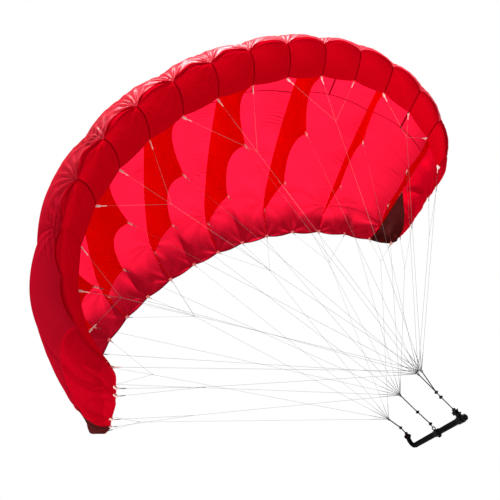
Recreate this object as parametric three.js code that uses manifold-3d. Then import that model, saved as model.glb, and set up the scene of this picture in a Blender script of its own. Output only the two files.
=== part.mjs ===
// Single-skin parawing in flight with its hand bar, millimetres, +Z up.
// The origin is the middle of the bar's grip. X runs along the span, Y aft from the leading
// edge to the trailing edge, and Z from the bar up to the canopy.
import * as THREE from 'three';
import { mergeVertices } from 'three/addons/utils/BufferGeometryUtils.js';
import Module from 'manifold-3d';

const wasm = await Module();
wasm.setup();

// Driving dimensions of the wing
const HALF_ARC = 1280;          // centre to tip, along the row of front tabs
const TIP_TURN = 1.796;         // how far the arc has turned over at the tip, radians
const LATE_TURN = 0.6;          // share of that turn that comes near the tip
const CENTRE_CHORD = 1522;      // front tab to trailing edge at the centre
const CHORD_TAPER = { square: 0.056, fourth: 0.400 };
const SWEEP = { square: 196, fourth: 146 };
const CELL_NARROWING = 0.14;    // how much the cells narrow towards the tips
const HEIGHT_TAPER = 0.34;      // how much the section flattens towards the tips
const TIP_FLATTENING = 0.62;    // further flattening between the last rib and the tip edge
const TIP_BOW = { front: 0.1, rear: -0.15, bulge: 0.45, lean: 0.66 };   // bow of the tip edge, in cells
const TIP_FLARE = 0.045;        // the rear of the tip edge turns outwards, part of the chord
const TRAILING_RISE = 0.057;    // the trailing edge lifts towards the tips, part of the chord
const FRONT_TAB = { y: -445, z: 1572 };   // centre front tab, from the bar's middle
const LAST_RIB = 7;             // full ribs stand at odd positions up to this one
const TIP = 8;                  // position of the tip edge

// Section of the shell, as parts of the chord, from the front tab round the nose to the trailing edge
const SECTION = [
  { aft: 0.000, up: 0.000 },
  { aft: -0.045, up: 0.007 },
  { aft: -0.074, up: 0.024 },
  { aft: -0.082, up: 0.046 },
  { aft: -0.079, up: 0.074 },
  { aft: -0.052, up: 0.107 },
  { aft: 0.022, up: 0.142 },
  { aft: 0.190, up: 0.174 },
  { aft: 0.450, up: 0.188 },
  { aft: 0.700, up: 0.186 },
  { aft: 0.880, up: 0.168 },
  { aft: 0.960, up: 0.120 },
  { aft: 1.002, up: 0.021 },
];
const STATIONS = SECTION.length - 1;
const NOSE_SEAM = 3 / STATIONS;       // where the nose panels meet the canopy
const SHORT_RIB_END = 6.5 / STATIONS;
const RIB_TAIL = { along: 0.95, width: 24, hem: 12, end: 0.8 };   // narrow end of a full rib

// Tabs on a full rib's free edge, and the depth of the arc behind each, part of the rib's height there
const RIB_TABS = [
  { row: 'front', aft: 0.006, up: 0.000, arc: 0.3 },
  { row: 'second', aft: 0.248, up: -0.019, arc: 0.3 },
  { row: 'third', aft: 0.581, up: 0.025, arc: 0.1 },
  { row: 'fourth', aft: 0.915, up: 0.128, arc: 0 },
];
const SCALLOP_STEPS = 8;
const TAB = { width: 12, drop: 15 };

// Tabs along a tip edge, by place along the section
const TIP_TABS = [
  { row: 'second', along: 6.6 / STATIONS },
  { row: 'second', along: 7.3 / STATIONS },
  { row: 'third', along: 8.8 / STATIONS },
  { row: 'third', along: 9.9 / STATIONS },
];

// Cloth
const CLOTH = 2;
const RIB_CLOTH = 1.4;
const GAP = 0.4;
const SEWN_GAP = 0.9;           // a rib's sewn edge stays this far inside the curved cloth
const SEAM_GAP = 0.8;           // seams across the section, where panels bulge unevenly
const BAY_BILLOW = 20;          // rise of the canopy midway between full ribs
const NOSE_BULGE = 12;          // rise of each nose cell
const HEM_DIP = 5;              // rise of the trailing edge between tags
const HEM_BOW = 11;             // how far the trailing edge bows out between tags
const BAY_COLUMNS = 8;
const CANOPY_ROWS = 15;
const DARK_ROW = 9;             // row where the tip bay changes to its dark rear panel, at the rib
const NOSE_ROWS = 4;
const DARK_SEAM = { rib: THREE.MathUtils.lerp(NOSE_SEAM, 1, DARK_ROW / CANOPY_ROWS), edge: 9.9 / STATIONS };

// Bridle: where each row gathers above the bar, in the middle plane
const GATHERS = {
  front: { y: -229, z: 215 },
  second: { y: -195, z: 215 },
  third: { y: 31, z: 196 },
  trailing: { y: 265, z: 148 },
};
const LINE_RADIUS = 1.2;
const LEADER_RADIUS = 2.2;
const LINE_SIDES = 5;
const BEAD = 2.6;               // sewn loop at a line's upper end
const KNOT = 3.6;
const GATHER_KNOT = 6.5;
// Lines that are knotted together, and how far down their way to the gather that is
const FRONT_GROUPS = [
  { lines: [-7, -6, -5], share: 0.10 },
  { lines: [-4, -3, -2], share: 0.16 },
  { lines: [-1, 0, 1], share: 0.20 },
  { lines: [2, 3, 4], share: 0.16 },
  { lines: [5, 6, 7], share: 0.10 },
];
const TRAILING_GROUPS = [
  { lines: [-8, -7], share: 0.15 },
  { lines: [-6, -5, -4], share: 0.22 },
  { lines: [-3, -2, -1], share: 0.27 },
  { lines: [0], share: 0.27 },
  { lines: [1, 2, 3], share: 0.27 },
  { lines: [4, 5, 6], share: 0.22 },
  { lines: [7, 8], share: 0.15 },
];
const TIP_KNOT_SHARE = 0.3;

// Leaders between the gathers and the bar, in the middle plane
const LEADERS = {
  front: [{ y: -209, z: 125 }, { y: -211, z: 102 }, { y: -222, z: 42 }],
  middle: [{ y: 9, z: 105 }, { y: -11, z: 42 }],
  rear: [{ y: 225, z: 91 }, { y: 218, z: 60 }],
};

// Bar
const BAR = { radius: 11, front: -236, rear: 216 };
const KNOB = { radius: 11.8, length: 16 };
const COLLAR = { radius: 14, front: -232, rear: -196 };
const SLEEVE = { radius: 13.6, front: -24, rear: 10 };
const EYE = { y: -8, z: 20.3, radius: 6.2, thickness: 2.3 };   // ring on the middle sleeve, across the bar
const HORN_RADIUS = 10;
const HORN_PATH = [
  { y: 216.8, z: 0 },
  { y: 225, z: 0 },
  { y: 236, z: 4 },
  { y: 241, z: 16 },
  { y: 236, z: 31 },
  { y: 227, z: 43 },
];
const LIP = { radius: 15, thickness: 7 };
const ROUND = 24;

// Finishes
const canopyRed = new THREE.MeshStandardMaterial({ color: 0xf0203f, roughness: 0.6, name: 'canopy_cloth' });
const ribRed = new THREE.MeshStandardMaterial({ color: 0xd00808, roughness: 0.6, name: 'rib_cloth' });
const noseRed = new THREE.MeshStandardMaterial({ color: 0xb00414, roughness: 0.55, name: 'nose_cloth' });
const darkCloth = new THREE.MeshStandardMaterial({ color: 0x2a1414, roughness: 0.6, name: 'dark_cloth' });
const lineGrey = new THREE.MeshStandardMaterial({ color: 0x8a8480, roughness: 0.8, name: 'line_cord' });
const leaderBlack = new THREE.MeshStandardMaterial({ color: 0x202020, roughness: 0.8, name: 'leader_cord' });
const gripBlack = new THREE.MeshStandardMaterial({ color: 0x0c0c0c, roughness: 0.5, name: 'bar_grip' });
const fittingBlack = new THREE.MeshStandardMaterial({ color: 0x121212, roughness: 0.4, name: 'bar_fitting' });

const wing = new THREE.Group();
const bar = new THREE.Group();
const group = new THREE.Group();
group.add(wing, bar);

function addMesh(parent, name, geometry, material) {
  const mesh = new THREE.Mesh(geometry, material);
  mesh.name = name;
  parent.add(mesh);
  return mesh;
}

const label = (i) => (i < 0 ? `left_${-i}` : i > 0 ? `right_${i}` : 'centre');

// The arc of the wing, seen from the front

function spanShare(i) {
  const share = i / TIP;
  return share * (1 + CELL_NARROWING) - CELL_NARROWING * share ** 3;
}

const turnAt = (s) => TIP_TURN * ((1 - LATE_TURN) * s + LATE_TURN * s ** 3);

const ARC_STEPS = 60;

function arcPoint(s) {
  let x = 0;
  let z = 0;
  const step = s / ARC_STEPS;
  for (let k = 0; k < ARC_STEPS; k += 1) {
    const turn = turnAt((k + 0.5) * step);
    x += Math.cos(turn) * step * HALF_ARC;
    z -= Math.abs(step) * Math.sin(Math.abs(turn)) * HALF_ARC;
  }
  return { x, z };
}

// One rib plane: its axes, chord and flattening at position i
function plane(i) {
  const s = spanShare(i);
  const turn = turnAt(s);
  const { x, z } = arcPoint(s);
  const past = Math.min(Math.max(Math.abs(i) - LAST_RIB, 0), 1);
  const sweep = SWEEP.square * s ** 2 + SWEEP.fourth * s ** 4;
  return {
    s,
    past,
    origin: new THREE.Vector3(x, FRONT_TAB.y + sweep, FRONT_TAB.z + z),
    aft: new THREE.Vector3(0, 1, 0),
    up: new THREE.Vector3(Math.sin(turn), 0, Math.cos(turn)),
    along: new THREE.Vector3(Math.cos(turn), 0, -Math.sin(turn)),
    chord: CENTRE_CHORD * (1 - CHORD_TAPER.square * s ** 2 - CHORD_TAPER.fourth * s ** 4),
    flat: (1 - HEIGHT_TAPER * s ** 2) * (1 - TIP_FLATTENING * past ** 2),
  };
}

const sectionCurve = new THREE.CatmullRomCurve3(
  SECTION.map((row) => new THREE.Vector3(row.aft, row.up, 0)), false, 'centripetal',
);

// Point of the bare section in its rib plane, millimetres aft and up of the front tab
function sectionPoint(rib, t) {
  const p = sectionCurve.getPoint(t);
  const rise = TRAILING_RISE * rib.s ** 2 * THREE.MathUtils.smoothstep(p.x, 0.88, 1);
  const flare = TIP_FLARE * rib.past * THREE.MathUtils.smoothstep(p.x, 0.35, 0.7);
  return new THREE.Vector2(p.x * rib.chord, (p.y * rib.flat + rise + flare) * rib.chord);
}

const SMALL = 1e-3;

function sectionSlope(rib, t) {
  const a = sectionPoint(rib, Math.max(t - SMALL, 0));
  const b = sectionPoint(rib, Math.min(t + SMALL, 1));
  return b.sub(a).divideScalar(Math.min(t + SMALL, 1) - Math.max(t - SMALL, 0));
}

// Section point moved out along its normal, and on along the section by reach, still in the rib plane
function liftedPoint(rib, t, lift, reach = 0) {
  const slope = sectionSlope(rib, t).normalize();
  const out = new THREE.Vector2(-slope.y, slope.x);
  return sectionPoint(rib, t).addScaledVector(out, lift).addScaledVector(slope, reach);
}

function inSpace(rib, p) {
  return rib.origin.clone().addScaledVector(rib.aft, p.x).addScaledVector(rib.up, p.y);
}

function shellPoint(i, t, lift, reach = 0) {
  const rib = plane(i);
  return inSpace(rib, liftedPoint(rib, t, lift, reach));
}

// How far along the canopy from the nose seam to the trailing edge, below 0 on the nose
const canopyShare = (t) => (t - NOSE_SEAM) / (1 - NOSE_SEAM);

// The tip edge bows outwards along the canopy
function tipPosition(t) {
  const along = Math.max(canopyShare(t), 0);
  const bow = TIP_BOW.bulge * Math.sin(Math.PI * along ** TIP_BOW.lean);
  return TIP + THREE.MathUtils.lerp(TIP_BOW.front, TIP_BOW.rear, along) + bow;
}

// Half a seam's gap as a step along the section
const halfSeam = (i, t) => SEAM_GAP / 2 / sectionSlope(plane(i), t).length();
// Half a seam's gap as a step along the span
const halfRibGap = (i) => GAP / 2 / (HALF_ARC * (spanShare(Math.abs(i)) - spanShare(Math.abs(i) - 1)));

// Billow of the canopy across a bay and of the nose across a cell

const hemShare = (t) => THREE.MathUtils.smoothstep(canopyShare(t), 0.86, 1);

function clothLift(bay, cells, t) {
  const nose = 1 - THREE.MathUtils.smoothstep(canopyShare(t), 0, 0.4);
  const hem = hemShare(t);
  return BAY_BILLOW * (1 - nose) * (1 - hem) * bay + (NOSE_BULGE * nose + HEM_DIP * hem) * cells;
}

const bayCells = (v) => Math.abs(Math.sin(2 * Math.PI * v));
const bayLift = (v, t) => clothLift(Math.sin(Math.PI * v), bayCells(v), t);
const bayReach = (v, t) => HEM_BOW * hemShare(t) * bayCells(v);

const noseLift = (v, t) => NOSE_BULGE * Math.sin(Math.PI * v) * (0.2 + 0.8 * t / NOSE_SEAM);

// A closed sheet from a grid of points: at(column, row, side) with side +1 outside, -1 inside
function sheetGeometry(columns, rows, at) {
  const positions = [];
  const index = [];
  const id = (c, r, inside) => (inside * (columns + 1) * (rows + 1)) + r * (columns + 1) + c;
  for (const side of [1, -1]) {
    for (let r = 0; r <= rows; r += 1) {
      for (let c = 0; c <= columns; c += 1) {
        const p = at(c / columns, r / rows, side);
        positions.push(p.x, p.y, p.z);
      }
    }
  }
  const quad = (a, b, c, d) => index.push(a, b, c, a, c, d);
  for (let r = 0; r < rows; r += 1) {
    for (let c = 0; c < columns; c += 1) {
      quad(id(c, r, 0), id(c + 1, r, 0), id(c + 1, r + 1, 0), id(c, r + 1, 0));
      quad(id(c, r, 1), id(c, r + 1, 1), id(c + 1, r + 1, 1), id(c + 1, r, 1));
    }
  }
  for (let c = 0; c < columns; c += 1) {
    quad(id(c, 0, 1), id(c + 1, 0, 1), id(c + 1, 0, 0), id(c, 0, 0));
    quad(id(c, rows, 0), id(c + 1, rows, 0), id(c + 1, rows, 1), id(c, rows, 1));
  }
  for (let r = 0; r < rows; r += 1) {
    quad(id(0, r, 0), id(0, r + 1, 0), id(0, r + 1, 1), id(0, r, 1));
    quad(id(columns, r, 1), id(columns, r + 1, 1), id(columns, r + 1, 0), id(columns, r, 0));
  }
  const geometry = new THREE.BufferGeometry();
  geometry.setAttribute('position', new THREE.Float32BufferAttribute(positions, 3));
  geometry.setIndex(index);
  geometry.computeVertexNormals();
  return geometry;
}

const fixed = (value) => () => value;

// Cloth between two positions, which may vary along the section, and two places along it, which may vary
// across the panel
function clothPanel(columns, rows, from, to, start, end, lift, reach = fixed(0)) {
  return sheetGeometry(columns, rows, (v, w, side) => {
    const t = THREE.MathUtils.lerp(start(v), end(v), w);
    const first = from(t);
    const last = to(t);
    const i = THREE.MathUtils.lerp(first + halfRibGap(first), last - halfRibGap(last), v);
    const open = w * (end(v) < 1 ? -halfSeam(i, end(v)) : 0) + (1 - w) * halfSeam(i, start(v));
    return shellPoint(i, t + open, lift(v, t, i) + side * CLOTH / 2, reach(v, t, i));
  });
}

function addCanopy() {
  for (let i = -LAST_RIB; i < LAST_RIB; i += 2) {
    const bay = clothPanel(
      BAY_COLUMNS, CANOPY_ROWS, fixed(i), fixed(i + 2), fixed(NOSE_SEAM), fixed(1), bayLift, bayReach,
    );
    addMesh(wing, `canopy_bay_${label(i + 1)}`, bay, canopyRed);
  }
}

// The last bay at each end: a front panel and a dark rear one, with a slanting seam between them
const darkSeam = (outwards) => THREE.MathUtils.lerp(DARK_SEAM.rib, DARK_SEAM.edge, outwards);
const TIP_PANELS = [
  { name: 'front', start: fixed(NOSE_SEAM), end: darkSeam, rows: DARK_ROW, cloth: noseRed },
  { name: 'rear', start: darkSeam, end: fixed(1), rows: CANOPY_ROWS - DARK_ROW, cloth: darkCloth },
];

const tipCell = (t, i) => Math.sin(Math.PI * (Math.abs(i) - LAST_RIB) / (tipPosition(t) - LAST_RIB));

function tipLift(v, t, i) {
  const share = (Math.abs(i) - LAST_RIB) / (tipPosition(t) - LAST_RIB);
  const cell = tipCell(t, i);
  return clothLift(Math.sin(Math.PI * share / 2) * cell, cell, t);
}

const tipReach = (v, t, i) => HEM_BOW * hemShare(t) * tipCell(t, i);

function addTips() {
  const columns = BAY_COLUMNS / 2;
  for (const { name, start, end, rows, cloth } of TIP_PANELS) {
    const left = clothPanel(
      columns, rows, (t) => -tipPosition(t), fixed(-LAST_RIB),
      (v) => start(1 - v), (v) => end(1 - v), tipLift, tipReach,
    );
    addMesh(wing, `tip_${name}_left`, left, cloth);
    const right = clothPanel(columns, rows, fixed(LAST_RIB), tipPosition, start, end, tipLift, tipReach);
    addMesh(wing, `tip_${name}_right`, right, cloth);
  }
}

function addNose() {
  for (let i = -TIP; i < TIP; i += 1) {
    const from = i === -TIP ? (t) => -tipPosition(t) : fixed(i);
    const to = i + 1 === TIP ? tipPosition : fixed(i + 1);
    const cell = clothPanel(BAY_COLUMNS / 2, NOSE_ROWS, from, to, fixed(0), fixed(NOSE_SEAM), noseLift);
    addMesh(wing, `nose_cell_${label(i < 0 ? i : i + 1)}`, cell, noseRed);
  }
}

// Ribs: flat cloth walls in a rib plane, cut from an outline

function ribMesh(name, i, outline) {
  const rib = plane(i);
  const shape = new THREE.Shape(outline);
  const geometry = new THREE.ExtrudeGeometry(shape, { depth: RIB_CLOTH, bevelEnabled: false });
  geometry.translate(0, 0, -RIB_CLOTH / 2);
  const mesh = addMesh(wing, name, geometry, ribRed);
  mesh.applyMatrix4(new THREE.Matrix4().makeBasis(rib.aft, rib.up, rib.along).setPosition(rib.origin));
}

const INSIDE = -(CLOTH / 2 + SEWN_GAP);

// The edge that is sewn to the nose and the canopy, just inside the cloth
function sewnEdge(rib, end, lift) {
  const edge = [];
  for (let r = 0; r <= NOSE_ROWS; r += 1) {
    edge.push(liftedPoint(rib, (r / NOSE_ROWS) * NOSE_SEAM, INSIDE));
  }
  for (let r = 1; r <= CANOPY_ROWS; r += 1) {
    const t = THREE.MathUtils.lerp(NOSE_SEAM, 1, r / CANOPY_ROWS);
    if (t < end) {
      edge.push(liftedPoint(rib, t, INSIDE + lift(t)));
    }
  }
  return edge;
}

// A tab's outline, from its aft corner round to its front corner
function tabOutline(foot) {
  const half = TAB.width / 2;
  return [[half, 0], [half * 0.8, -TAB.drop], [-half * 0.8, -TAB.drop], [-half, 0]]
    .map(([aft, up]) => new THREE.Vector2(foot.x + aft, foot.y + up));
}

function tabFoot(rib, tab) {
  const clear = tab.row === 'front' ? TAB.width / 2 : 0;
  return new THREE.Vector2(tab.aft * rib.chord + clear, tab.up * rib.flat * rib.chord);
}

// Narrow end of a full rib, from the sewn edge near the hem back to its inner edge
function ribTail(rib) {
  const { along, width, hem, end } = RIB_TAIL;
  const inner = liftedPoint(rib, along, INSIDE - width);
  return [
    liftedPoint(rib, along, INSIDE).lerp(liftedPoint(rib, 1, INSIDE), end),
    inner.clone().lerp(liftedPoint(rib, 1, INSIDE - hem), end),
    inner,
  ];
}

// Free edge between two tabs, drawn up into an arc
function scallop(rib, from, to, arc) {
  const points = [];
  const middle = from.clone().add(to).multiplyScalar(0.5);
  const roof = SECTION[7].up * rib.flat * rib.chord;
  const depth = arc * (roof - middle.y);
  for (let k = 1; k < SCALLOP_STEPS; k += 1) {
    const share = k / SCALLOP_STEPS;
    const p = from.clone().lerp(to, share);
    p.y += depth * 4 * share * (1 - share);
    points.push(p);
  }
  return points;
}

function addFullRib(i) {
  const rib = plane(i);
  const outline = [...sewnEdge(rib, 1, () => 0), ...ribTail(rib)];
  for (let k = RIB_TABS.length - 1; k >= 0; k -= 1) {
    const foot = tabFoot(rib, RIB_TABS[k]);
    outline.push(...tabOutline(foot));
    if (k > 0) {
      const arc = scallop(rib, foot, tabFoot(rib, RIB_TABS[k - 1]), RIB_TABS[k - 1].arc);
      outline.push(...arc.filter((p) => Math.abs(p.x - foot.x) > TAB.width));
    }
  }
  ribMesh(`rib_${label(i)}`, i, outline);
}

function addShortRib(i) {
  const rib = plane(i);
  const outline = sewnEdge(rib, SHORT_RIB_END, (t) => bayLift(0.5, t));
  const foot = tabFoot(rib, RIB_TABS[0]);
  const top = outline[outline.length - 1];
  for (const share of [0.25, 0.5, 0.75]) {
    const p = top.clone().lerp(foot, share);
    p.x -= top.x * share * (1 - share);
    outline.push(p);
  }
  outline.push(...tabOutline(foot));
  ribMesh(`short_rib_${label(i)}`, i, outline);
}

function addRibs() {
  for (let i = -LAST_RIB; i <= LAST_RIB; i += 1) {
    if (i % 2 === 0) {
      addShortRib(i);
    } else {
      addFullRib(i);
    }
  }
}

// Joining of lines, beads and knots into one solid

function toSolid(geometry) {
  const bare = geometry.clone();
  bare.deleteAttribute('normal');
  bare.deleteAttribute('uv');
  const merged = mergeVertices(bare, 1e-4);
  return new wasm.Manifold(new wasm.Mesh({
    numProp: 3,
    vertProperties: new Float32Array(merged.attributes.position.array),
    triVerts: new Uint32Array(merged.index.array),
  }));
}

function joined(geometries) {
  const mesh = wasm.Manifold.union(geometries.map(toSolid)).getMesh();
  const geometry = new THREE.BufferGeometry();
  geometry.setAttribute('position', new THREE.BufferAttribute(new Float32Array(mesh.vertProperties), 3));
  geometry.setIndex(new THREE.BufferAttribute(new Uint32Array(mesh.triVerts), 1));
  geometry.computeVertexNormals();
  return geometry;
}

function lineGeometry(from, to, radius) {
  const run = to.clone().sub(from);
  const geometry = new THREE.CylinderGeometry(radius, radius, run.length(), LINE_SIDES);
  const turn = new THREE.Quaternion().setFromUnitVectors(new THREE.Vector3(0, 1, 0), run.clone().normalize());
  geometry.applyQuaternion(turn);
  const middle = from.clone().lerp(to, 0.5);
  return geometry.translate(middle.x, middle.y, middle.z);
}

function ballGeometry(centre, radius) {
  return new THREE.IcosahedronGeometry(radius).translate(centre.x, centre.y, centre.z);
}

// Where each line starts: the bead that hangs just under a tab or an edge

const hang = BEAD + GAP;

function ribBead(i, row) {
  const rib = plane(i);
  const foot = tabFoot(rib, RIB_TABS.find((tab) => tab.row === row));
  return inSpace(rib, new THREE.Vector2(foot.x, foot.y - TAB.drop - hang));
}

function tipFrontBead(side) {
  const rib = plane(side * tipPosition(0));
  return inSpace(rib, new THREE.Vector2(0, -hang - CLOTH));
}

function tipBead(side, t) {
  const edge = tipPosition(t);
  const cell = HALF_ARC * (spanShare(edge) - spanShare(edge - 1));
  return shellPoint(side * (edge + 1.5 * hang / cell), t, 0);
}

// The tag's loop lies off the inner corner of the trailing edge, on the bar's side
function trailingBead(i) {
  const rib = plane(i);
  const aft = sectionSlope(rib, 1).normalize();
  const inwards = new THREE.Vector2(aft.y, -aft.x);
  const away = aft.clone().add(inwards).normalize();
  const corner = sectionPoint(rib, 1).addScaledVector(inwards, CLOTH / 2);
  return inSpace(rib, corner.addScaledVector(away, hang));
}

const gatherPoint = (row) => new THREE.Vector3(0, GATHERS[row].y, GATHERS[row].z);

// Lines from a few beads, knotted together on the way to their gather
function knottedGroup(beads, gather, share) {
  const middle = new THREE.Vector3();
  beads.forEach((bead) => middle.addScaledVector(bead, 1 / beads.length));
  const knot = middle.lerp(gather, share);
  return [
    ...beads.flatMap((bead) => [ballGeometry(bead, BEAD), lineGeometry(bead, knot, LINE_RADIUS)]),
    ballGeometry(knot, KNOT),
    lineGeometry(knot, gather, LINE_RADIUS),
  ];
}

function singleLine(bead, gather) {
  return [ballGeometry(bead, BEAD), lineGeometry(bead, gather, LINE_RADIUS)];
}

const sides = [-1, 1];
const fullRibs = Array.from({ length: LAST_RIB + 1 }, (_, k) => 2 * k - LAST_RIB);

function addBridle() {
  const front = gatherPoint('front');
  const frontLines = FRONT_GROUPS.flatMap(({ lines, share }) => (
    knottedGroup(lines.map((i) => ribBead(i, 'front')), front, share)
  ));
  sides.forEach((side) => frontLines.push(...singleLine(tipFrontBead(side), front)));
  addMesh(wing, 'bridle_front', joined([...frontLines, ballGeometry(front, GATHER_KNOT)]), lineGrey);

  for (const row of ['second', 'third']) {
    const gather = gatherPoint(row);
    const lines = fullRibs.flatMap((i) => singleLine(ribBead(i, row), gather));
    sides.forEach((side) => {
      const beads = TIP_TABS.filter((tab) => tab.row === row).map((tab) => tipBead(side, tab.along));
      lines.push(...knottedGroup(beads, gather, TIP_KNOT_SHARE));
    });
    addMesh(wing, `bridle_${row}`, joined([...lines, ballGeometry(gather, GATHER_KNOT)]), lineGrey);
  }

  const trailing = gatherPoint('trailing');
  const trailingLines = TRAILING_GROUPS.flatMap(({ lines, share }) => {
    const inner = lines.filter((i) => i % 2 !== 0 && Math.abs(i) < 5);
    const beads = [...lines.map(trailingBead), ...inner.map((i) => ribBead(i, 'fourth'))];
    return knottedGroup(beads, trailing, share);
  });
  addMesh(wing, 'bridle_trailing', joined([...trailingLines, ballGeometry(trailing, GATHER_KNOT)]), lineGrey);
}

// Leaders, each a short run of thicker line with its knots

const inMiddle = ({ y, z }) => new THREE.Vector3(0, y, z);

function belowGather(row, towards) {
  const gather = gatherPoint(row);
  const way = towards.clone().sub(gather).normalize();
  return gather.addScaledVector(way, GATHER_KNOT + 0.8 * GAP);
}

// Points get a knot each; a tail runs on from the last one
function addLeader(name, rows, points, tail = null) {
  const knots = points.map(inMiddle);
  const pieces = rows.map((row) => lineGeometry(belowGather(row, knots[0]), knots[0], LEADER_RADIUS));
  if (tail) {
    pieces.push(lineGeometry(knots[knots.length - 1], inMiddle(tail), LEADER_RADIUS));
  }
  knots.forEach((knot, k) => {
    pieces.push(ballGeometry(knot, KNOT + 1.4));
    if (k > 0) {
      pieces.push(lineGeometry(knots[k - 1], knot, LEADER_RADIUS));
    }
  });
  addMesh(bar, name, joined(pieces), leaderBlack);
}

// Bar pieces: turned ones are made about +Y

function turned(profile) {
  return new THREE.LatheGeometry(profile.map(([radius, y]) => new THREE.Vector2(radius, y)), ROUND);
}

function blockGeometry(outline, width) {
  const geometry = new THREE.ExtrudeGeometry(outline, { depth: width, bevelEnabled: false });
  geometry.translate(0, 0, -width / 2);
  const axes = new THREE.Matrix4().makeBasis(
    new THREE.Vector3(0, 1, 0), new THREE.Vector3(0, 0, 1), new THREE.Vector3(1, 0, 0),
  );
  return geometry.applyMatrix4(axes);
}

const shapeOf = (rows) => new THREE.Shape(rows.map(([y, z]) => new THREE.Vector2(y, z)));

function ringProfile(inner, outer, front, rear) {
  return [[inner, front], [outer, front], [outer, rear], [inner, rear], [inner, front]];
}

function addBar() {
  const edge = 2;
  addMesh(bar, 'bar_tube', turned([
    [0, BAR.front], [BAR.radius, BAR.front], [BAR.radius, BAR.rear], [0, BAR.rear],
  ]), gripBlack);

  const knobRear = BAR.front - GAP;
  const knobFront = knobRear - KNOB.length;
  addMesh(bar, 'bar_knob', turned([
    [0, knobFront], [KNOB.radius - 2 * edge, knobFront], [KNOB.radius, knobFront + 2 * edge],
    [KNOB.radius, knobRear - edge], [KNOB.radius - edge, knobRear], [0, knobRear],
  ]), fittingBlack);

  const bore = BAR.radius + GAP;
  const cleatFoot = COLLAR.radius - 2;
  const cleat = blockGeometry(shapeOf([
    [-231, cleatFoot], [-212, cleatFoot], [-215, 25], [-204, 23], [-207, 37], [-240, 37], [-229, 29],
    [-230, 24], [-239, 22], [-240, 18], [-231, 17],
  ]), 14);
  addMesh(bar, 'front_cleat', joined([
    turned(ringProfile(bore, COLLAR.radius, COLLAR.front, COLLAR.rear)), cleat,
  ]), fittingBlack);

  const eye = new THREE.TorusGeometry(EYE.radius, EYE.thickness, 8, 16).rotateX(Math.PI / 2);
  const nub = shapeOf([[-12, -SLEEVE.radius + 2], [-12, -19], [-2, -19], [2, -SLEEVE.radius + 2]]);
  addMesh(bar, 'middle_fitting', joined([
    turned(ringProfile(bore, SLEEVE.radius, SLEEVE.front, SLEEVE.rear)),
    eye.translate(0, EYE.y, EYE.z), blockGeometry(nub, 10),
  ]), fittingBlack);

  const path = new THREE.CatmullRomCurve3(HORN_PATH.map(inMiddle));
  const round = new THREE.Shape().absarc(0, 0, HORN_RADIUS, 0, 2 * Math.PI, false);
  addMesh(bar, 'rear_horn', new THREE.ExtrudeGeometry(round, {
    extrudePath: path, steps: 10, curveSegments: ROUND / 6, bevelEnabled: false,
  }), gripBlack);

  const tip = path.getPoint(1);
  const way = path.getTangent(1);
  const lip = turned([
    [0, GAP], [LIP.radius - edge, GAP], [LIP.radius, GAP + edge], [LIP.radius, LIP.thickness - edge],
    [LIP.radius - edge, LIP.thickness], [0, LIP.thickness],
  ]);
  const lipMesh = addMesh(bar, 'rear_lip', lip, fittingBlack);
  lipMesh.position.copy(tip);
  lipMesh.quaternion.setFromUnitVectors(new THREE.Vector3(0, 1, 0), way);
}

addCanopy();
addTips();
addNose();
addRibs();
addBridle();
addLeader('leader_front', ['front', 'second'], LEADERS.front);
addLeader('leader_middle', ['third'], LEADERS.middle, {
  y: EYE.y, z: EYE.z + EYE.radius + EYE.thickness + 3 * GAP,
});
addLeader('leader_rear', ['trailing'], LEADERS.rear);
addBar();

export default group;
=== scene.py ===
# Looks of the single-skin parawing and its hand bar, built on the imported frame.
# Metres, +Z up, origin at the middle of the bar's grip, X along the span, Y aft.
import math
import random

import bpy
import numpy as np
from mathutils import Matrix, Vector


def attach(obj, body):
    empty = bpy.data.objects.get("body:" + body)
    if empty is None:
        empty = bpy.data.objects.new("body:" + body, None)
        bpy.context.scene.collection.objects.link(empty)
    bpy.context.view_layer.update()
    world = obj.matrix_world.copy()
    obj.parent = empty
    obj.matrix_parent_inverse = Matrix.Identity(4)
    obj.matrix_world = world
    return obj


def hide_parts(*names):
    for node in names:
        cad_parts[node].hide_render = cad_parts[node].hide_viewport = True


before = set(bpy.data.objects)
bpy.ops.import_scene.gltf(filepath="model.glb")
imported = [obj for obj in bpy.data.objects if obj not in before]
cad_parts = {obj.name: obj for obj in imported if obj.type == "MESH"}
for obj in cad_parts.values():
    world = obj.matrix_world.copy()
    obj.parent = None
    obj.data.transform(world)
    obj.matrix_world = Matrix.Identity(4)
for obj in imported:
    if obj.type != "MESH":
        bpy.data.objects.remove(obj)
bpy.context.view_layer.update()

# Driving dimensions of the wing, as in the solids
HALF_ARC = 1.280
TIP_TURN = 1.796
LATE_TURN = 0.6
CENTRE_CHORD = 1.522
CHORD_TAPER_SQUARE = 0.056
CHORD_TAPER_FOURTH = 0.400
SWEEP_SQUARE = 0.196
SWEEP_FOURTH = 0.146
CELL_NARROWING = 0.14
HEIGHT_TAPER = 0.34
TIP_FLATTENING = 0.62
TIP_FLARE = 0.045
FLARE_ALONG = (0.35, 0.7)
TIP_BOW_FRONT = 0.1
TIP_BOW_REAR = -0.15
TIP_BOW_BULGE = 0.45
TIP_BOW_LEAN = 0.66
TRAILING_RISE = 0.057
RISE_ALONG = (0.88, 1)
FRONT_TAB_Y = -0.445
FRONT_TAB_Z = 1.572
LAST_RIB = 7
TIP = 8

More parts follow.
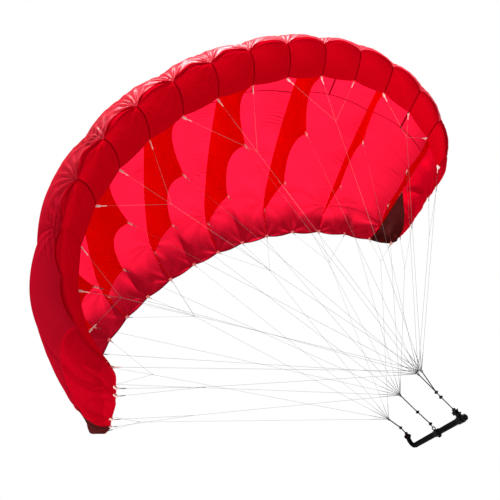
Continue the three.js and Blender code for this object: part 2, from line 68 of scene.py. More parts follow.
# Section of the shell from the front tab round the nose to the trailing edge, aft and up in chords
SECTION = np.array([
    (0.000, 0.000), (-0.045, 0.007), (-0.074, 0.024), (-0.082, 0.046), (-0.079, 0.074),
    (-0.052, 0.107), (0.022, 0.142), (0.190, 0.174), (0.450, 0.188), (0.700, 0.186),
    (0.880, 0.168), (0.960, 0.120), (1.002, 0.021),
])
STATIONS = len(SECTION) - 1
NOSE_SEAM = 3 / STATIONS
SHORT_RIB_END = 6.5 / STATIONS
DARK_SEAM_AT_RIB = 0.70
DARK_SEAM_AT_EDGE = 9.9 / STATIONS
ROOF_STATION = 7
RIB_TAIL_ALONG = 0.95
RIB_TAIL_WIDTH = 0.024
RIB_TAIL_HEM = 0.012
RIB_TAIL_END = 0.8

# Tabs on a full rib's free edge: aft and up in chords, and the depth of the arc behind each
RIB_TABS = {
    "front": (0.006, 0.0, 0.3), "second": (0.248, -0.019, 0.3),
    "third": (0.581, 0.025, 0.1), "fourth": (0.915, 0.128, 0.0),
}
TAB_WIDTH = 0.012
TAB_DROP = 0.015
TIP_TABS = {"second": (6.6 / STATIONS, 7.3 / STATIONS), "third": (8.8 / STATIONS, 9.9 / STATIONS)}

# Cloth
CLOTH = 0.002
SEWN_GAP = 0.0009
SEWN_RISE = 0.0012        # the thin ribs of the scene reach up into the solids' gap
INSIDE = -(CLOTH / 2 + SEWN_GAP) + SEWN_RISE
BAY_BILLOW = 0.020
NOSE_BULGE = 0.012
BULGE_AT_TABS = 0.2       # share of the bulge at the front tabs
BULGE_END = 0.4           # share of the canopy at which it has run out
HEM_DIP = 0.005
HEM_BOW = 0.011
HEM_ALONG = (0.86, 1)
PILLOW = 0.008            # further swell of the nose cells
PILLOW_END = 0.1
LEFT_FLATTENING = 0.75    # the left nose cells lose this share of their fullness
LEFT_CELLS = (3.5, 6)
SEAM_ARCH = 0.026         # the nose panels reach up in an arch between the ribs
FRONT_SAG = 0.015         # and their lower edges hang below the front tabs
FLAP_LOBE = 0.014         # further swell of the rear flap between its tags
FLAP_ALONG = (0.72, 0.93)
FLAP_FADE = (5, LAST_RIB)
FLAP_LOSS = 0.8           # share of the lobes that is lost at the last ribs
ROUNDING = {"pillow": 0.6, "lobe": 0.7, "seam": 0.7, "sag": 0.5}    # powers; less is fuller
PANEL_SEAM = 7.2 / STATIONS

# Bridle: the gathers, in the middle plane, and the lines that are knotted together on the way
GATHERS = {
    "front": (-0.229, 0.215), "second": (-0.195, 0.215),
    "third": (0.031, 0.196), "trailing": (0.265, 0.148),
}
FRONT_GROUPS = [
    ((-7, -6, -5), 0.10), ((-4, -3, -2), 0.16), ((-1, 0, 1), 0.20),
    ((2, 3, 4), 0.16), ((5, 6, 7), 0.10),
]
TRAILING_GROUPS = [
    ((-8, -7), 0.15), ((-6, -5, -4), 0.22), ((-3, -2, -1), 0.27), ((0,), 0.27),
    ((1, 2, 3), 0.27), ((4, 5, 6), 0.22), ((7, 8), 0.15),
]
TIP_KNOT_SHARE = 0.3
FOURTH_TABS_WITHIN = 5    # ribs further out have no line at their fourth tab
LINE_RADIUS = 0.0005
LEADER_RADIUS = {"front": 0.0020, "middle": 0.0022, "rear": 0.0026}
LEADERS = {
    "front": [(-0.209, 0.125), (-0.211, 0.102), (-0.222, 0.042)],
    "middle": [(0.009, 0.105), (-0.011, 0.042)],
    "rear": [(0.225, 0.091), (0.218, 0.060)],
}
EYE_TOP = (-0.008, 0.030)
LEADER_STEPS = {"leg": 6, "run": 8}
LEADER_SIDES = 10


# The wing's shape

def smoothstep(x, low, high):
    share = np.clip((x - low) / (high - low), 0, 1)
    return share * share * (3 - 2 * share)


def lerp(a, b, share):
    return a + (b - a) * share


def unit(way):
    return way / np.linalg.norm(way, axis=-1, keepdims=True)


def span_share(i):
    share = i / TIP
    return share * (1 + CELL_NARROWING) - CELL_NARROWING * share ** 3


def span_gap(i, k):
    """Distance along the arc from position k to position i."""
    return HALF_ARC * (span_share(i) - span_share(k))


def turn_at(s):
    return TIP_TURN * ((1 - LATE_TURN) * s + LATE_TURN * s ** 3)


ARC_STEP = 0.0005
ARC_S = np.arange(0, 1.1, ARC_STEP)
ARC_TURN = turn_at(ARC_S[:-1] + ARC_STEP / 2)
ARC_X = HALF_ARC * ARC_STEP * np.concatenate([[0], np.cumsum(np.cos(ARC_TURN))])
ARC_Z = -HALF_ARC * ARC_STEP * np.concatenate([[0], np.cumsum(np.sin(ARC_TURN))])


def section_table(steps):
    """Points along the section: a centripetal Catmull-Rom curve through SECTION."""
    ends = [2 * SECTION[0] - SECTION[1]], [2 * SECTION[-1] - SECTION[-2]]
    points = np.concatenate([ends[0], SECTION, ends[1]])
    knots = np.sqrt(np.linalg.norm(np.diff(points, axis=0), axis=1))[:, None]
    found = []
    for k in range(STATIONS):
        p0, p1, p2, p3 = points[k:k + 4]
        d0, d1, d2 = knots[k:k + 3]
        m1 = d1 * ((p1 - p0) / d0 - (p2 - p0) / (d0 + d1) + (p2 - p1) / d1)
        m2 = d1 * ((p2 - p1) / d1 - (p3 - p1) / (d1 + d2) + (p3 - p2) / d2)
        w = np.linspace(0, 1, steps, endpoint=False)[:, None]
        square, cube = 3 * (p2 - p1) - 2 * m1 - m2, 2 * (p1 - p2) + m1 + m2
        found.append(p1 + m1 * w + square * w ** 2 + cube * w ** 3)
    return np.concatenate(found + [SECTION[-1:]])


SECTION_STEPS = 200
SECTION_XY = section_table(SECTION_STEPS)
SECTION_T = np.linspace(0, 1, len(SECTION_XY))
SECTION_RUN = np.concatenate([[0], np.cumsum(np.linalg.norm(np.diff(SECTION_XY, axis=0), axis=1))])


def section_aft(t):
    return np.interp(t, SECTION_T, SECTION_XY[:, 0])


def section_run(t):
    return np.interp(t, SECTION_T, SECTION_RUN)


class Rib:
    """The plane of position i: its origin, axes, chord and flattening. i may be an array."""

    def __init__(self, i):
        i = np.asarray(i, float)
        s = span_share(i)
        turn = turn_at(s)
        x = np.sign(s) * np.interp(np.abs(s), ARC_S, ARC_X)
        y = FRONT_TAB_Y + SWEEP_SQUARE * s ** 2 + SWEEP_FOURTH * s ** 4
        z = FRONT_TAB_Z + np.interp(np.abs(s), ARC_S, ARC_Z)
        self.s = s
        self.past = np.clip(np.abs(i) - LAST_RIB, 0, 1)
        self.origin = np.stack([x, y, z], -1)
        self.up = np.stack([np.sin(turn), 0 * s, np.cos(turn)], -1)
        self.along = np.stack([np.cos(turn), 0 * s, -np.sin(turn)], -1)
        self.chord = CENTRE_CHORD * (1 - CHORD_TAPER_SQUARE * s ** 2 - CHORD_TAPER_FOURTH * s ** 4)
        self.flat = (1 - HEIGHT_TAPER * s ** 2) * (1 - TIP_FLATTENING * self.past ** 2)

    def section(self, t):
        aft = section_aft(t)
        up = np.interp(t, SECTION_T, SECTION_XY[:, 1])
        rise = TRAILING_RISE * self.s ** 2 * smoothstep(aft, *RISE_ALONG)
        flare = TIP_FLARE * self.past * smoothstep(aft, *FLARE_ALONG)
        return np.stack([aft * self.chord, (up * self.flat + rise + flare) * self.chord], -1)

    def slope(self, t, small=1e-3):
        return unit(self.section(np.minimum(t + small, 1)) - self.section(np.maximum(t - small, 0)))

    def lifted(self, t, lift, reach=0.0):
        """Section point moved out along its normal, and on along the section by reach."""
        way = self.slope(t)
        out = np.stack([-way[..., 1], way[..., 0]], -1)
        lift, reach = np.asarray(lift)[..., None], np.asarray(reach)[..., None]
        return self.section(t) + out * lift + way * reach

    def in_space(self, p, sideways=0.0):
        place = self.origin + self.up * p[..., 1:2] + self.along * np.asarray(sideways)[..., None]
        place[..., 1] += p[..., 0]
        return place


def run_gap(i, t, start):
    """Distance along the section of position i from the place start to t."""
    return Rib(i).chord * (section_run(t) - section_run(start))


def canopy_share(t):
    return (t - NOSE_SEAM) / (1 - NOSE_SEAM)


def tip_position(t):
    along = np.maximum(canopy_share(t), 0)
    bow = TIP_BOW_BULGE * np.sin(np.pi * along ** TIP_BOW_LEAN)
    return TIP + lerp(TIP_BOW_FRONT, TIP_BOW_REAR, along) + bow


def hem_share(t):
    return smoothstep(canopy_share(t), *HEM_ALONG)


def fullness(i):
    """How full the nose cells stand: those on the left are drawn flatter."""
    return 1 - LEFT_FLATTENING * smoothstep(-i, *LEFT_CELLS)


def swell(i, cell, t):
    """Further swell of the cloth between pinched points: nose cells and rear flap."""
    share = canopy_share(t)
    nose = np.clip(t / NOSE_SEAM, 0, 1) * (1 - smoothstep(share, 0, PILLOW_END))
    flap = smoothstep(share, *FLAP_ALONG) * (1 - FLAP_LOSS * smoothstep(np.abs(i), *FLAP_FADE))
    pillow = PILLOW * fullness(i) * cell ** ROUNDING["pillow"] * nose
    return pillow + FLAP_LOBE * cell ** ROUNDING["lobe"] * flap


def cloth_lift(i, bay, cell, t):
    share = canopy_share(t)
    nose = 1 - smoothstep(share, 0, BULGE_END)
    hem = hem_share(t)
    billow = BAY_BILLOW * (1 - nose) * (1 - hem) * bay
    return billow + (NOSE_BULGE * fullness(i) * nose + HEM_DIP * hem) * cell + swell(i, cell, t)


# Folds of the cloth

FAN_PEAK = 0.35           # share of a fan's reach at which its ridges are highest
FAN_STRAY = 0.7           # how unevenly the ridges are spread
FAN_SINK = 0.75           # how far the troughs between them lie under the plain cloth
NOSE_FAN = {"rays": 15, "reach": 0.110, "forward": 0.25}
NOSE_FAN_HEIGHT = 0.0036
NOSE_FAN_STRONGEST = -2   # the pinches show most here and fade towards both tips
NOSE_FAN_SPREAD = 3
NOSE_FAN_LEAST = 0.25
NOSE_FAN_END = -6         # there are none from here to the left tip
NOSE_FAN_RUN_OUT = 0.3    # share of the nose panel, at its foot, in which they run out
HEM_FAN = {"rays": 9, "reach": 0.100, "height": 0.0030}
REAR_FAN = {"rays": 7, "reach": 0.150, "height": 0.0034}
TIP_FAN = {"rays": 7, "reach": 0.120, "height": 0.0024}
PHASE = {"nose": 1.7, "hem": 2.3, "rear": 0.9, "tip": 20}    # make each fan unlike the next
REAR_PINCH = 10.25 / STATIONS
TIP_PINCH = {"turn": 0.15, "length": 0.09, "width": 0.018, "depth": -0.009}
FLAP_FOLD_ALONG = 0.93
FLAP_FOLD = {"turn": 1.35, "length": 0.085, "width": 0.022, "depth": -0.022}
RIB_CLEAR = 0.03          # creases fade out this near to a rib
FOLD_SEED = 100

WRINKLE_PITCH = 0.027
WRINKLE_REACH = 0.050
WRINKLE_START = 0.02
WRINKLE_HEIGHT = 0.0036
WRINKLE_GROUPS = 0.41
WRINKLE_BEND = 21
WRINKLE_SLANT = 30
WRINKLE_STRENGTH = ((0.2, 0.6), (0.7, 1.2))    # at a bay's first rib and at its last
# Stations where wrinkles gather at a rib seam, and their spread in chords
WRINKLE_SPOTS = [(7.0, 0.05), (7.9, 0.09), (9.1, 0.06), (10.0, 0.05)]

# Small creases drawn at random in each bay: how many, then the least and most of each measure
SMALL_CREASES = 9
SMALL_STATION = (7.2, 10.4)
SMALL_SHAPE = [(-0.3, 0.3), (0.05, 0.12), (0.007, 0.013)]    # turn, length and width
SMALL_DEPTH = (0.0006, 0.0016)


def offsets(i, t, at):
    """Distances along span and section from the point at = (position, place along the section)."""
    return span_gap(i, at[0]), run_gap(at[0], t, at[1])


def fan(i, t, at, rays, reach, height, phase, forward=1.0):
    """Narrow ridges that spread from the point at and die away from it."""
    dx, dy = offsets(i, t, at)
    r = np.hypot(dx, dy) / (FAN_PEAK * reach)
    angle = np.arctan2(dx, np.abs(dy))
    rise = r * np.exp(1 - r)
    stray = FAN_STRAY * np.sin(3 * angle + 2 * phase)
    wave = (0.5 + 0.5 * np.cos(rays * angle + phase + stray)) ** 2
    return height * rise * (2 * wave - FAN_SINK) * np.where(dy < 0, forward, 1)


def nose_fan(i, t, k):
    """The pinch at the nose seam of position k; the left end of the wing is drawn smooth."""
    fade = math.exp(-((k - NOSE_FAN_STRONGEST) / NOSE_FAN_SPREAD) ** 2)
    height = NOSE_FAN_HEIGHT * lerp(NOSE_FAN_LEAST, 1, fade) if k > NOSE_FAN_END else 0
    return fan(i, t, (k, NOSE_SEAM), phase=PHASE["nose"] * k, height=height, **NOSE_FAN)


def crease(i, t, at, turn, length, width, depth):
    """One soft trough or ridge at the point at, turned from the span."""
    dx, dy = offsets(i, t, at)
    along = dx * math.cos(turn) + dy * math.sin(turn)
    across = -dx * math.sin(turn) + dy * math.cos(turn)
    return depth * np.exp(-(along / length) ** 2 - (across / width) ** 2)


# The main creases, listed one by one: position, station, turn from the span, length, width, depth
SIDE_CREASES = [
    (-6.3, 5.9, 0.0, 0.140, 0.160, 0.016),
    (-6.6, 6.95, 0.0, 0.060, 0.024, -0.016),
]
TIP_CREASES = [
    (-7.45, 6.95, 0.0, 0.085, 0.024, -0.020),
    (-7.30, 6.45, 0.0, 0.070, 0.022, 0.011),
    (-7.40, 4.80, 0.3, 0.060, 0.050, -0.014),
    (-7.85, 7.60, 0.6, 0.070, 0.050, 0.010),
    (7.60, 7.90, -1.0, 0.085, 0.013, -0.015),
    (7.60, 7.25, -0.5, 0.060, 0.040, 0.014),
    (8.10, 8.00, -0.8, 0.070, 0.040, 0.014),
    (7.85, 6.80, 0.2, 0.060, 0.012, -0.013),
    (8.05, 8.45, 0.3, 0.050, 0.012, -0.008),
    (7.25, 11.2, 1.45, 0.110, 0.012, -0.007),
    (7.45, 11.3, 1.50, 0.120, 0.012, 0.007),
    (7.62, 11.2, 1.60, 0.110, 0.012, -0.007),
    (7.82, 11.1, 1.65, 0.090, 0.012, 0.006),
    (-7.30, 11.2, -1.45, 0.110, 0.014, -0.006),
    (-7.60, 11.2, -1.55, 0.110, 0.014, 0.006),
]


def hand_creases(i, t, rows):
    return sum(crease(i, t, (at, station / STATIONS), *shape) for at, station, *shape in rows)


def seam_wrinkles(i, t, rib, strength):
    """Short parallel wrinkles across a rib seam's side, in a few spots along it."""
    away = np.abs(span_gap(i, rib))
    run = section_run(t)
    spots = sum(
        np.exp(-((run - section_run(at / STATIONS)) / spread) ** 2) for at, spread in WRINKLE_SPOTS
    )
    turn = 2 * np.pi * CENTRE_CHORD * run / WRINKLE_PITCH
    groups = 0.5 + 0.5 * np.cos(WRINKLE_GROUPS * turn + 2 * rib)
    bend = 2 * np.sin(WRINKLE_BEND * run + rib)
    wave = np.cos(turn + bend + WRINKLE_SLANT * away) * groups
    fade = smoothstep(away, 0, WRINKLE_START) * np.exp(-away / WRINKLE_REACH)
    return strength * WRINKLE_HEIGHT * wave * spots * fade


def canopy_folds(i, t, first, last):
    """Folds of one bay: fans at the nose seam, tags and rear tabs, then wrinkles and creases."""
    total = 0 * i
    for k in range(first - 1, last + 2):
        total += nose_fan(i, t, k)
        total += fan(i, t, (k, 1.0), phase=PHASE["hem"] * k, **HEM_FAN)
        if k % 2:
            total += fan(i, t, (k, REAR_PINCH), phase=PHASE["rear"] * k, **REAR_FAN)
        else:
            total += crease(i, t, (k, FLAP_FOLD_ALONG), **FLAP_FOLD)
    chance = random.Random(FOLD_SEED + 7 * first)
    for rib, strength in zip((first, last), WRINKLE_STRENGTH):
        total += seam_wrinkles(i, t, rib, chance.uniform(*strength))
    inner = smoothstep(np.minimum(span_gap(i, first), span_gap(last, i)), 0, RIB_CLEAR)
    total += inner * hand_creases(i, t, SIDE_CREASES)
    for _ in range(SMALL_CREASES):
        place = (lerp(first, last, chance.random()), chance.uniform(*SMALL_STATION) / STATIONS)
        shape = [chance.uniform(*measure) for measure in SMALL_SHAPE]
        depth = chance.choice((-1, 1)) * chance.uniform(*SMALL_DEPTH)
        total += inner * crease(i, t, place, *shape, depth)
    return total


def nose_folds(i, t):
    """The same fans where they run down on to the nose panels."""
    total = sum(nose_fan(i, t, k) for k in range(-TIP, TIP + 1))
    return total * smoothstep(t, 0, NOSE_FAN_RUN_OUT * NOSE_SEAM)


def tip_folds(i, t, side):
    """Folds of a tip bay: fans at its corners, pinches at its tabs and the listed creases."""
    out = np.abs(i)
    total = 0 * i
    for k in (LAST_RIB, TIP):
        total += nose_fan(i, t, side * k)
        total += fan(out, t, (k, 1.0), phase=PHASE["hem"] * k, **HEM_FAN)
    for along in [t for row in TIP_TABS.values() for t in row]:
        edge = float(tip_position(along))
        total += fan(out, t, (edge, along), phase=PHASE["tip"] * along, **TIP_FAN)
        total += crease(out, t, (edge, along), **TIP_PINCH)
    inner = smoothstep(span_gap(out, LAST_RIB), 0, RIB_CLEAR)
    return total + inner * hand_creases(i, t, TIP_CREASES)


# Meshes from grids of points

def new_object(name, data):
    obj = bpy.data.objects.new(name, data)
    bpy.context.scene.collection.objects.link(obj)
    return obj


def mesh_object(name, points, faces, material):
    mesh = bpy.data.meshes.new(name)
    mesh.from_pydata([tuple(p) for p in points], [], faces)
    mesh.shade_smooth()
    mesh.materials.append(material)
    mesh.update()
    return new_object(name, mesh)


def grid_faces(rows, columns, start=0, wrap=False):
    faces = []
    for r in range(rows - 1):
        for c in range(columns if wrap else columns - 1):
            a = start + r * columns + c
            b = start + r * columns + (c + 1) % columns
            faces.append((a, b, b + columns, a + columns))
    return faces


def add_mark(obj, name, values):
    mark = obj.data.attributes.new(name, "FLOAT", "POINT")
    mark.data.foreach_set("value", values.ravel().astype(np.float32))


def cloth_piece(node_name, points, uv, seam, material, slot):
    """A sheet of cloth on a grid: points have its folds; uv is in metres,
    and seam is the distance to the sewn edges."""
    faces = grid_faces(*points.shape[:2])
    obj = mesh_object(node_name + "_cloth", points.reshape(-1, 3), faces, material)
    layer = obj.data.uv_layers.new(name="cloth")
    index = np.zeros(len(obj.data.loops), np.int32)
    obj.data.loops.foreach_get("vertex_index", index)
    layer.data.foreach_set("uv", uv.reshape(-1, 2)[index].astype(np.float32).ravel())
    add_mark(obj, "seam", seam)
    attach(obj, "root")
    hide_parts(node_name)
    return obj


def label(i):
    return f"left_{-i}" if i < 0 else f"right_{i}" if i > 0 else "centre"


def rib_name(i):
    """Full ribs stand at the odd positions, short ones between them."""
    return f"rib_{label(i)}" if i % 2 else f"short_rib_{label(i)}"


# Materials

RIPSTOP = 0.005
THREAD_EDGE = (0.10, 0.02)
THREAD_SHARE = 0.25
HEM_WIDTH = 0.008
HEM_CORE = 0.75           # share of the width drawn in full
EDGE_SHARE = 0.8
SEAM_LINE = 0.0042
SEAM_CORE = 0.7
CLOTH_PATCHES = (5.0, 0.07)
PATCH_EDGES = (0.32, 0.68)
CRINKLE_DEPTH = 0.0015
GRAIN_SPREAD = 0.25
DULL_SPREAD = 0.08
# Painted shade in the troughs of the folds: the depths over which it comes in, and how much of it
# is laid on
CREASE_SHADE_DEPTH = (0.0002, 0.0014)
CREASE_SHADE_SHARE = 0.32
# Strip behind the nose seam that is glossier and painted pink as a highlight: its reach, and the
# cells over which it fades out towards the shaded left tip
HIGHLIGHT_REACH = 0.08
HIGHLIGHT_FADE = (1.5, 5)
# Colour of the painted highlight on that strip
PAINTED_HIGHLIGHT_PINK = (0.80, 0.05, 0.09)
SEAM_SHADE_RUN = (-0.014, 0.012)     # along the section, where painted shade darkens the nose panels at their seam so the cells' lit tops don't show
SEAM_HIDDEN = 0.0025      # the nose seams are drawn narrower by this at the left
HIDDEN_CELLS = (4.3, 5)
# The cloth's colour is multiplied by these: painted shade in fold troughs, at the nose seam and
# along fine wrinkles, and the cloth's own darker threads, hems and seams
SHADES = {
    "thread": (0.6, 0.5, 0.55), "painted_crease_shade": (0.45, 0.3, 0.35), "edge": (0.25, 0.15, 0.2),
    "painted_seam_shade": (0.58, 0.6, 0.7), "seam": (0.22, 0.1, 0.15), "painted_wrinkle_shade": (0.50, 0.25, 0.32),
}

# Painted wrinkle shade: the pitch and drift of its dark lines, and ramps across a line, out from a
# bay's middle, into a patch and forward from the trailing edge
FINE_PITCH = 0.021
FINE_DRIFT = 7.0
FINE_LINE = (0.22, 0.08)
FINE_BESIDE = (0.03, 0.15)
FINE_PATCH = (0.46, 0.60)
FINE_AHEAD = (1.60, 1.30)


def new_material(name):
    material = bpy.data.materials.new(name)
    material.use_nodes = True
    tree = material.node_tree
    tree.nodes.clear()
    return material, tree, tree.nodes.new("ShaderNodeOutputMaterial")


def node(tree, kind, **values):
    """A new node; values feed its inputs, with _ for a space in their names, or are settings."""
    made = tree.nodes.new(kind)
    for key, value in values.items():
        name = key.replace("_", " ")
        if isinstance(value, bpy.types.NodeSocket):
            tree.links.new(value, made.inputs[name])
        elif name in made.inputs:
            made.inputs[name].default_value = value
        else:
            setattr(made, key, value)
    return made


def calc(tree, operation, a, b=0.0):
    """A math node; a and b are sockets or numbers."""
    made = node(tree, "ShaderNodeMath", operation=operation)
    for socket, value in zip(made.inputs, (a, b)):
        if isinstance(value, (int, float)):
            socket.default_value = value
        else:
            tree.links.new(value, socket)
    return made.outputs[0]


def ramp(tree, value, low, high, top=1.0):
    """0 where value is low, top where it is high."""
    made = node(tree, "ShaderNodeMapRange", Value=value, From_Min=low, From_Max=high, To_Max=top)
    return made.outputs[0]


def read_mark(tree, name):
    return node(tree, "ShaderNodeAttribute", attribute_name=name).outputs["Fac"]


def blended(tree, factor, colour, other, blend="MULTIPLY"):
    """colour times other, or another blend of them, where factor is 1."""
    kind = {"data_type": "RGBA", "blend_type": blend}
    made = node(tree, "ShaderNodeMix", **kind, Factor=factor, A=colour, B=(*other, 1))
    return made.outputs["Result"]


def mottled(tree, place, colour, scale, spread):
    """The colour, a little lighter and darker in patches, and the patches themselves."""
    noise = node(tree, "ShaderNodeTexNoise", Scale=scale, Detail=4.0, Vector=place).outputs["Fac"]
    tint = tree.nodes.new("ShaderNodeValToRGB")
    for stop, edge, share in zip(tint.color_ramp.elements, PATCH_EDGES, (1 - spread, 1 + spread)):
        stop.position = edge
        stop.color = (*[min(c * share, 1) for c in colour], 1)
    tree.links.new(noise, tint.inputs[0])
    return tint.outputs[0], noise


def ripstop_mask(tree, x, y):
    """1 on the thicker threads, every few millimetres both ways."""
    found = []
    for place in (x, y):
        wave = calc(tree, "PINGPONG", calc(tree, "MULTIPLY", place, 1 / RIPSTOP), 0.5)
        found.append(ramp(tree, wave, *THREAD_EDGE))
    return calc(tree, "MAXIMUM", *found)


def panel_seams(tree, x, y):
    """1 on the seam across the canopy and on those in the bays' middles in front of it."""
    behind = calc(tree, "SUBTRACT", y, CENTRE_CHORD * float(section_run(PANEL_SEAM)))
    across = calc(tree, "ABSOLUTE", behind)
    middle = calc(tree, "MAXIMUM", calc(tree, "ABSOLUTE", x), behind)
    return ramp(tree, calc(tree, "MINIMUM", across, middle), SEAM_LINE, SEAM_CORE * SEAM_LINE)


def painted_wrinkle_lines(tree, x, y):
    """1 on painted wrinkle shade: dark lines in patches beside the rib seams, where the surface
    itself has no wrinkles.
    """
    place = tree.nodes.new("ShaderNodeTexCoord").outputs["Object"]
    patches = node(tree, "ShaderNodeTexNoise", Scale=5.0, Detail=1.0, Vector=place).outputs["Fac"]
    drift = calc(tree, "MULTIPLY", patches, FINE_DRIFT)
    turns = calc(tree, "ADD", calc(tree, "MULTIPLY", y, 1 / FINE_PITCH), drift)
    line = ramp(tree, calc(tree, "PINGPONG", turns, 0.5), *FINE_LINE)
    beside = ramp(tree, calc(tree, "ABSOLUTE", x), *FINE_BESIDE)
    patch = ramp(tree, patches, *FINE_PATCH)
    ahead = ramp(tree, y, *FINE_AHEAD)
    where = calc(tree, "MULTIPLY", patch, ahead)
    return calc(tree, "MULTIPLY", calc(tree, "MULTIPLY", line, beside), where)


def cloth_material(
    name, colour, share, seam_width=HEM_WIDTH, crinkled=0.3, gloss_and_painted_highlight=0.0, seams=False, seam_shaded=False,
):
    """Coated ripstop: light passes through it by share; where its gloss and highlight mark is 1 it
    is glossier and painted pink as a highlight, and its fold troughs get painted shade.
    seams draws the canopy's seams and painted shade of fine wrinkles, and the last flag paints
    shade on the nose panels at their seam."""
    material, tree, output = new_material(name)
    uv = node(tree, "ShaderNodeUVMap", uv_map="cloth").outputs[0]
    parts = node(tree, "ShaderNodeSeparateXYZ", Vector=uv)
    x, y = parts.outputs["X"], parts.outputs["Y"]

    tint, _ = mottled(tree, uv, colour, *CLOTH_PATCHES)
    if gloss_and_painted_highlight:
        # painted highlight: the strip behind the nose seam is tinted pink as if sunlit
        gloss_and_highlight_mark = read_mark(tree, "gloss_and_painted_highlight")
        tint = blended(tree, gloss_and_highlight_mark, tint, PAINTED_HIGHLIGHT_PINK, "MIX")
    raised = calc(tree, "MULTIPLY", ripstop_mask(tree, x, y), THREAD_SHARE)
    tint = blended(tree, raised, tint, SHADES["thread"])
    # painted shade in the fold troughs
    painted_crease_shade = calc(tree, "MULTIPLY", read_mark(tree, "painted_crease_shade"), CREASE_SHADE_SHARE)
    tint = blended(tree, painted_crease_shade, tint, SHADES["painted_crease_shade"])
    edge = ramp(tree, read_mark(tree, "seam"), seam_width, HEM_CORE * seam_width, EDGE_SHARE)
    tint = blended(tree, edge, tint, SHADES["edge"])
    # painted shade on the nose panels at their seam
    if seam_shaded:
        tint = blended(tree, read_mark(tree, "painted_seam_shade"), tint, SHADES["painted_seam_shade"])
    if seams:
        inside = tree.nodes.new("ShaderNodeNewGeometry").outputs["Backfacing"]
        shown = calc(tree, "MULTIPLY", panel_seams(tree, x, y), inside)
        tint = blended(tree, shown, tint, SHADES["seam"])
        # painted shade of fine wrinkles beside the rib seams
        tint = blended(tree, painted_wrinkle_lines(tree, x, y), tint, SHADES["painted_wrinkle_shade"])

    crinkle = node(tree, "ShaderNodeTexNoise", Scale=60.0, Detail=4.0, Distortion=0.6, Vector=uv)
    height = calc(tree, "ADD", crinkle.outputs["Fac"], raised)
    bump = node(tree, "ShaderNodeBump", Strength=crinkled, Distance=CRINKLE_DEPTH, Height=height)
    normal = bump.outputs[0]

    front = node(
        tree, "ShaderNodeBsdfPrincipled", Roughness=0.4, Base_Color=tint, Normal=normal,
        Specular_IOR_Level=calc(tree, "MULTIPLY", gloss_and_highlight_mark, gloss_and_painted_highlight) if gloss_and_painted_highlight else 0,
    )
    back = node(tree, "ShaderNodeBsdfTranslucent", Color=tint, Normal=normal)
    mixed = tree.nodes.new("ShaderNodeMixShader")
    mixed.inputs[0].default_value = share
    tree.links.new(front.outputs[0], mixed.inputs[1])
    tree.links.new(back.outputs[0], mixed.inputs[2])
    tree.links.new(mixed.outputs[0], output.inputs[0])
    return material


def grain_material(name, colour, rough, scale, depth, gloss=0.2):
    """A plain finish with a fine grain in its colour, roughness and surface."""
    material, tree, output = new_material(name)
    place = tree.nodes.new("ShaderNodeTexCoord").outputs["Object"]
    tint, grain = mottled(tree, place, colour, scale, GRAIN_SPREAD)
    bump = node(tree, "ShaderNodeBump", Strength=0.5, Distance=depth, Height=grain)
    least, most = rough - DULL_SPREAD, rough + DULL_SPREAD
    dull = node(tree, "ShaderNodeMapRange", Value=grain, To_Min=least, To_Max=most)
    shader = node(
        tree, "ShaderNodeBsdfPrincipled", Base_Color=tint, Specular_IOR_Level=gloss,
        Roughness=dull.outputs[0], Normal=bump.outputs[0],
    )
    tree.links.new(shader.outputs[0], output.inputs[0])
    return material


CANOPY_RED = cloth_material("canopy_ripstop", (0.43, 0.0038, 0.0185), 0.6, gloss_and_painted_highlight=0.15, seams=True)
RIB_RED = cloth_material("rib_ripstop", (0.72, 0.001, 0.0009), 0.35)
NOSE_RED = cloth_material(
    "nose_ripstop", (0.49, 0.0004, 0.0070), 0.2, seam_width=0.0030, crinkled=0.1, seam_shaded=True,
)
TIP_RED = cloth_material("tip_ripstop", (0.50, 0.0008, 0.012), 0.5, crinkled=0.15)
DARK_CLOTH = cloth_material("dark_ripstop", (0.066, 0.0085, 0.0085), 0.2)
TAB_PINK = grain_material("webbing", (0.80, 0.54, 0.49), 0.7, 900, 0.0004)
LINE_GREY = grain_material("braided_line", (0.14, 0.138, 0.138), 0.7, 1400, 0.0002, gloss=0.05)
SPLICE_GREY = grain_material("spliced_line", (0.03, 0.03, 0.032), 0.7, 1400, 0.0002, gloss=0.05)
LEADER_BLACK = grain_material("braided_leader", (0.006,) * 3, 0.75, 1200, 0.0004, gloss=0.05)
GRIP_BLACK = grain_material("foam_grip", (0.0012,) * 3, 0.7, 700, 0.0006, gloss=0.02)
FITTING_BLACK = grain_material("moulded_fitting", (0.0016,) * 3, 0.5, 300, 0.0001, gloss=0.03)


# Canopy, tips and nose

CANOPY_GRID = (400, 91)
NOSE_GRID = (60, 46)
TIP_COLUMNS = 56
ROW_STEPS = 2000
BY_STATION = 0.45         # rows are spaced by station to this share, by length for the rest


def section_rows(count, start, end):
    """Shares from 0 to 1 of the way along the section, closer together where it curves."""
    t = np.linspace(start, end, ROW_STEPS)
    run = section_run(t)
    by_station = BY_STATION * (t - start) / (end - start)
    by_run = (1 - BY_STATION) * (run - run[0]) / (run[-1] - run[0])
    return (np.interp(np.linspace(0, 1, count), by_station + by_run, t) - start) / (end - start)


def arched_seam(cell):
    """Place along the section of the nose seam, which arches up in each cell."""
    run = section_run(NOSE_SEAM) + SEAM_ARCH / CENTRE_CHORD * cell ** ROUNDING["seam"]
    return np.interp(run, SECTION_RUN, SECTION_T)


def bay_cells(v):
    return np.abs(np.sin(2 * np.pi * v))


def one_cell(v):
    return np.sin(np.pi * v)


def fixed(value):
    return lambda t: value + 0 * t


